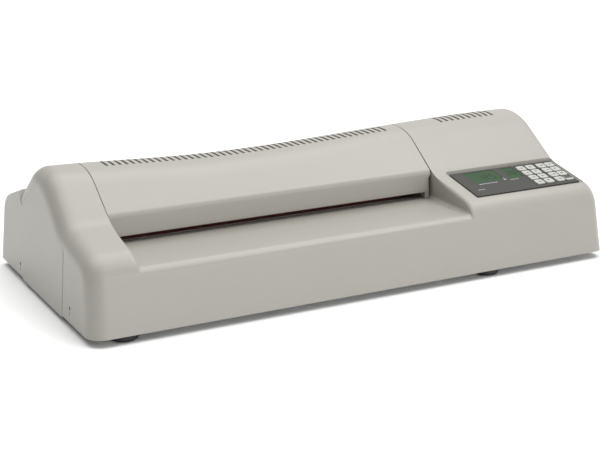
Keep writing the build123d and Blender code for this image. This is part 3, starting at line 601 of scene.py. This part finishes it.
# The tray and the inner sides run on a little under the cover's lip.
under_rows = []
for y in (LIP_Y, -42.5, TRAY_END_Y):
    level_left, level_right = housing(COVER_LEFT, LIP_Y)[0], housing(COVER_RIGHT, LIP_Y)[0]
    left_foot = into_tray(COVER_LEFT, 1, y, level_left)
    right_foot = into_tray(COVER_RIGHT, -1, y, level_right)
    top_left = (COVER_LEFT, y, inner_edge(COVER_LEFT, 1, LIP_Y)[-1][2])
    top_right = (COVER_RIGHT, y, inner_edge(COVER_RIGHT, -1, LIP_Y)[-1][2])
    middle = [(x, y, TRAY_Z) for x in TRAY_COLUMNS]
    under_rows.append([top_left] + left_foot + middle + right_foot[::-1] + [top_right])
front_sheet.grid(under_rows)


def last_ys(x):
    """Rows from the last fixed one down to the shelf."""
    end = rear_end(x)
    return [LAST_ROW + (end - LAST_ROW) * i / 4 for i in range(1, 5)]


left_rear, right_rear = [], []
for y in rows_rear:
    left_rear.append(left_columns_at(y) + inner_edge(COVER_LEFT, 1, y))
    right_rear.append(inner_edge(COVER_RIGHT, -1, y)[::-1] + right_columns_at(y))
for i in range(4):
    row = []
    for k, p in enumerate(left_rear[-1 - i]):
        y = last_ys(min(max(p[0], LEFT + 16), COVER_LEFT))[i]
        row.append((left_columns_at(y) + inner_edge(COVER_LEFT, 1, y))[k])
    left_rear.append(row)
    row = []
    for k, p in enumerate(right_rear[-1 - i]):
        y = last_ys(min(max(p[0], COVER_RIGHT), RIGHT - 14))[i]
        row.append((inner_edge(COVER_RIGHT, -1, y)[::-1] + right_columns_at(y))[k])
    right_rear.append(row)


def skip_right(i, k):
    c = k - (FILLET_STEPS + 1)
    if c < 0 or c + 1 >= len(right_columns) or i + 1 >= len(rows_rear):
        return False
    x0, x1, y0, y1 = right_columns[c], right_columns[c + 1], rows_rear[i], rows_rear[i + 1]
    in_vent = any(abs((x0 + x1) / 2 - x) < VENT_WIDTH / 2 for x in HOUSING_VENTS)
    return (in_vent and y0 > VENT_FRONT - 0.1 and y1 < VENT_REAR + 0.1) or panel_hole(y0, y1, x0, x1)


front_sheet.grid(left_rear)
front_sheet.grid(right_rear, skip_right)

# Flat end faces in front of the side seams, with a screw hole and a slit in each.
for side, column in ((-1, 0), (1, -1)):
    outline = [row[column][1:] for row, y in zip(whole, rows_front) if y <= seam_row + 0.01]
    outline.append((SEAM_Y - LOWER_SEAM, FLOOR))
    rear_y, front_y = SCREW_Y + SLIT_HALF, SCREW_Y - SLIT_HALF
    slit = [(front_y, SLIT_LOW), (rear_y, SLIT_LOW), (rear_y, SLIT_HIGH), (front_y, SLIT_HIGH)]
    front_sheet.flat(side, [outline, circle(SCREW_Y, SCREW_Z, SCREW_RADIUS), slit])

front_skin = front_sheet.build("front_housing_skin", looks["housing"], WALL)
soften(front_skin)
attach(front_skin, "chassis")
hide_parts("front_housing")

# A lip behind each side seam, and a web behind each joint with the rear shelf.
LIP_DEPTH, LIP_DEPTH_ABOVE = 1.9, 0.6
seam_lips = Sheet()
for side in (-1, 1):
    base = ENDS[side][0] - side * ENDS[side][2]
    path = [(SEAM_Y - SEAM / 2, FLOOR + i * 6.0) for i in range(10)]
    rows = [[(LIP_DEPTH, y - 2.2, z), (LIP_DEPTH, y + 2.2, z)] for y, z in path]
    for y in [y for y in rows_front + rows_rear if y > seam_row] + [LAST_ROW + i for i in range(1, 8)]:
        if y < rear_end(base):
            pair = (sunk(base, y, SEAM_INSET - 2.0), sunk(base, y, SEAM_INSET + 2.5))
            rows.append([(LIP_DEPTH_ABOVE, *spot) for spot in pair])
    strip = [[(end_x(side, z) - side * depth, y, z) for depth, y, z in row] for row in rows]
    seam_lips.grid(strip if side < 0 else [row[::-1] for row in strip])
seam_lip = seam_lips.build("seam_lips", looks["housing"], 0.5)
soften(seam_lip)
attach(seam_lip, "chassis")

# ---------------------------------------------------------------- centre cover

cover_low_x, cover_high_x = COVER_LEFT + SEAM, COVER_RIGHT - SEAM
cover_columns = [cover_low_x, cover_low_x + 0.4, -212.0]
cover_columns += [x + s * VENT_WIDTH / 2 for x in COVER_VENTS for s in (-1, 1)]
cover_columns += [106.0, 112.0, cover_high_x - 0.4, cover_high_x]
cover_rows = spread(-34.0, -25.0, 2.6) + spread(-23.0, LAST_ROW, 1.9) + [VENT_FRONT, VENT_REAR]
cover_rows = thinned(cover_rows, [VENT_FRONT, VENT_REAR])


def cover_column(x):
    """The points of the cover at x, from under its lip, up its face and over the dome."""
    rolled = COVER_EDGE if x in (cover_low_x, cover_high_x) else 0.0
    gap = LIP_END_GAP if x > COVER_RIGHT - 5.5 else 0.0
    points = [(x - gap, -38.0, LIP_Z + rolled), (x - gap, LIP_Y + 0.9, LIP_Z + rolled),
              (x - gap, LIP_Y + 0.25, LIP_Z + 0.2 + rolled), (x - gap, LIP_Y, LIP_Z + 0.8)]
    face = (CREASE[0] - LIP_Y) / (CREASE[1] - LIP_Z)
    points += [(x - gap, LIP_Y + face * (z - LIP_Z) + rolled, z) for z in (73.0, 78.0, 81.5)]
    top = crest(x)
    slope = (top - CREASE[1]) / (peak(x) - CREASE[0])
    a0, a1 = atan(1 / face), atan(slope)
    run = CREASE_RADIUS * tan((a0 - a1) / 2)
    y0, z0 = CREASE[0] - run * cos(a0), CREASE[1] - run * sin(a0)
    yc, zc = y0 + sin(a0) * CREASE_RADIUS, z0 - cos(a0) * CREASE_RADIUS
    for i in range(9):
        a = a0 + (a1 - a0) * i / 8
        points.append((x, yc - sin(a) * (CREASE_RADIUS - rolled), zc + cos(a) * (CREASE_RADIUS - rolled)))
    last = rear_end(x)
    ys = cover_rows + [LAST_ROW + (last - LAST_ROW) * i / 3 for i in range(1, 4)]
    for y in ys:
        z, m = cover(x, y)
        points.append((x, y + m / sqrt(1 + m * m) * rolled, z - rolled / sqrt(1 + m * m)))
    return points


cover_sheet = Sheet()
cover_points = [cover_column(x) for x in cover_columns]
lead = len(cover_points[0]) - len(cover_rows) - 3


def skip_cover(i, k):
    if i < lead or i + 1 >= lead + len(cover_rows):
        return False
    y0, y1 = cover_rows[i - lead], cover_rows[i + 1 - lead]
    centre = (cover_columns[k] + cover_columns[k + 1]) / 2
    in_vent = any(abs(centre - x) < 0.1 for x in COVER_VENTS)
    return in_vent and y0 > VENT_FRONT - 0.1 and y1 < VENT_REAR + 0.1


cover_sheet.grid([list(row) for row in zip(*cover_points)], skip_cover)
cover_skin = cover_sheet.build("centre_cover_skin", looks["cover"], WALL)
soften(cover_skin)
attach(cover_skin, "chassis")
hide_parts("centre_cover")

# ---------------------------------------------------------------- small parts and print


def prism(sheet, top, bottom):
    """A closed solid between two rings of points that run the same way round, seen from the top."""
    sheet.face(top)
    sheet.face(bottom[::-1])
    for i in range(len(top)):
        k = (i + 1) % len(top)
        sheet.face((bottom[i], bottom[k], top[k], top[i]))


def finished(sheet, name, material, body):
    thing = sheet.build(name, material)
    soften(thing)
    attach(thing, body)
    return thing


webs = Sheet()
fall = atan(DOME_REAR_SLOPE)
for side in (-1, 1):
    base = ENDS[side][0] - side * ENDS[side][2]
    y = rear_end(base) + SEAM / (DOME_REAR_SLOPE - SHELF_SLOPE)
    z = SHELF_Z - SHELF_SLOPE * (y - SHELF_Y)
    profile = []
    near, far = 0.3, 0.3 + WEB_THICKNESS
    for ahead, deep in ((near, WEB_INSET), (near, WEB_DEPTH), (far, WEB_DEPTH), (far, WEB_INSET)):
        profile.append((y + ahead * cos(fall) - deep * sin(fall), z - ahead * sin(fall) - deep * cos(fall)))
    outer_ring = [(end_x(side, pz) - side * WEB_INSET, py, pz) for py, pz in profile]
    inner_ring = [(side * WEB_INNER_X, py, pz) for py, pz in profile]
    prism(webs, outer_ring if side < 0 else outer_ring[::-1], inner_ring if side < 0 else inner_ring[::-1])
finished(webs, "shelf_webs", looks["housing"], "chassis")

post_high = cover_high_x - LIP_END_GAP
post_low = post_high - POST_WIDTH
post_ring = [(post_low, LIP_Y + 0.2), (post_high, LIP_Y + 0.2), (post_high, -40.0), (post_low, -40.0)]
post = Sheet()
prism(post, [(x, y, LIP_Z + 0.6) for x, y in post_ring], [(x, y, TRAY_Z + 0.3) for x, y in post_ring])
finished(post, "slot_end_post", looks["cover"], "chassis")

pips = Sheet()
for x, y in PIPS:
    rings = []
    for r, z in ((1.3, -0.2), (1.2, 0.25), (0.8, 0.6), (0.3, 0.75)):
        rings.append([(px, py, TRAY_Z + z) for px, py in circle(x, y, r, 12)])
    for a, b in zip(rings, rings[1:]):
        for i in range(12):
            k = (i + 1) % 12
            pips.face((a[i], a[k], b[k], b[i]))
    pips.face(rings[-1])
    pips.face(rings[0][::-1])
finished(pips, "tray_pips", looks["housing"], "chassis")


def on_panel(u, v, lift):
    """A place on the panel, u to the right and v to the front of its rear left corner."""
    across, up = u - PANEL_W / 2, PANEL_D / 2 - v
    level = SHOULDER[1] + CONTROL_SLOPE * (PANEL_Y - SHOULDER[0])
    return (PANEL_X + across, PANEL_Y + up * cos(TILT) - lift * sin(TILT),
            level + up * sin(TILT) + lift * cos(TILT))


def stamp(sheet, outline, base, thickness=0.04):
    """A thin print over an outline in (u, v) that runs left, front, right, rear."""
    prism(sheet, [on_panel(u, v, base + thickness) for u, v in outline],
          [on_panel(u, v, base - 0.02) for u, v in outline])


def bar(sheet, u0, v0, u1, v1, base):
    stamp(sheet, [(u0, v0), (u0, v1), (u1, v1), (u1, v0)], base)


panel_top, lens_top, key_top = -0.3, -0.5, 0.8
marks = Sheet()
for start, stop, v, step in ((17.0, 39.2, 28.1, 3.2), (55.1, 65.4, 27.2, 2.6), (8.9, 16.7, 38.8, 2.6)):
    u = start
    while u + step * 0.8 < stop + 0.6:
        bar(marks, u, v, u + step * 0.8, v + 1.1, panel_top)
        u += step
bar(marks, 49.6, 22.0, 50.5, 25.2, panel_top)
bar(marks, 48.7, 25.2, 51.4, 26.4, panel_top)
finished(marks, "panel_marks", white_ink, "chassis")

SEGMENTS = {0: "abcdef", 1: "bc", 2: "abdeg", 5: "acdfg"}


def digit(sheet, value, u, v, wide, tall):
    """A seven segment digit with its rear left corner at (u, v)."""
    t, gap = 0.95, 0.2
    middle = v + tall / 2
    bars = {
        "a": (u + t, v, u + wide - t, v + t),
        "g": (u + t, middle - t / 2, u + wide - t, middle + t / 2),
        "d": (u + t, v + tall - t, u + wide - t, v + tall),
        "f": (u, v + gap, u + t, middle - gap),
        "b": (u + wide - t, v + gap, u + wide, middle - gap),
        "e": (u, middle + gap, u + t, v + tall - gap),
        "c": (u + wide - t, middle + gap, u + wide, v + tall - gap),
    }
    for name in SEGMENTS[value]:
        bar(sheet, *bars[name], lens_top)


digits = Sheet()
for place, value in enumerate((1, 2, 5)):
    digit(digits, value, 24.5 + place * 7.4, 10.0, 5.2, 9.6)
for place, value in enumerate((2, 0)):
    digit(digits, value, 59.5 + place * 6.2, 10.0, 4.4, 8.4)
finished(digits, "display_digits", segment_ink, "chassis")

KEY_COLUMNS, KEY_ROW, KEY_PITCH = (81.0, 92.6, 105.8, 116.6), 9.4, 10.7
for r in range(4):
    for c in range(4):
        u, v = KEY_COLUMNS[c], KEY_ROW + r * KEY_PITCH
        legend = Sheet()
        if (r, c) == (3, 3):
            bar(legend, u - 4.2, v - 4.0, u + 4.2, v + 1.8, key_top)
        elif c in (0, 2):
            stamp(legend, [(u + 0.6, v - 1.3), (u - 1.0, v + 1.2), (u + 2.2, v + 1.2)], key_top)
            bar(legend, u - 3.0, v + 0.4, u - 1.8, v + 1.2, key_top)
        elif r % 2:
            stamp(legend, [(u - 2.2, v - 1.2), (u - 0.6, v + 1.3), (u + 1.0, v - 1.2)], key_top)
        else:
            bar(legend, u - 1.8, v - 0.9, u + 1.4, v - 0.2, key_top)
            bar(legend, u - 1.8, v + 0.5, u + 1.4, v + 1.2, key_top)
        key_name = f"key_r{r + 1}c{c + 1}"
        finished(legend, f"{key_name}_print", dark_ink, key_name)

# ---------------------------------------------------------------- springs over the upper rollers

WIRE, TURNS, STEPS, SIDES = 0.9, 4, 24, 8


def coil(sheet, x, y, radius, bottom, top):
    """A round wire wound up from the bottom to the top about a vertical axis."""
    start, pitch = bottom + WIRE / 2, (top - bottom - WIRE) / TURNS
    rings = []
    for i in range(TURNS * STEPS + 1):
        a = 2 * pi * i / STEPS
        ring = []
        for b in (2 * pi * k / SIDES for k in range(SIDES)):
            out = radius + WIRE / 2 * cos(b)
            ring.append((x + out * cos(a), y + out * sin(a), start + pitch * i / STEPS + WIRE / 2 * sin(b)))
        rings.append(ring)
    for lower, upper in zip(rings, rings[1:]):
        for k in range(SIDES):
            n = (k + 1) % SIDES
            sheet.face((lower[k], upper[k], upper[n], lower[n]))
    sheet.face(rings[0])
    sheet.face(rings[-1][::-1])


for roller in ("heat", "pull"):
    low, high = (tuple(c / MM for c in corner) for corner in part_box(f"{roller}_springs"))
    y, radius = (low[1] + high[1]) / 2, (high[1] - low[1] - WIRE) / 2
    coils = Sheet()
    for x in (low[0] + radius + WIRE / 2, high[0] - radius - WIRE / 2):
        coil(coils, x, y, radius, low[2], high[2])
    spring = coils.build(f"{roller}_coils", looks["spring"])
    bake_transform(spring)
    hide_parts(f"{roller}_springs")

# ---------------------------------------------------------------- CAD nodes that stay

slot_of = {part["node"]: part["material_slot"] for part in frame["record"]["subparts"]}
for name, thing in nodes.items():
    if thing.hide_render:
        continue
    thing.data.materials.clear()
    thing.data.materials.append(looks[slot_of[name]])
    soften(thing)

low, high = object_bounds()
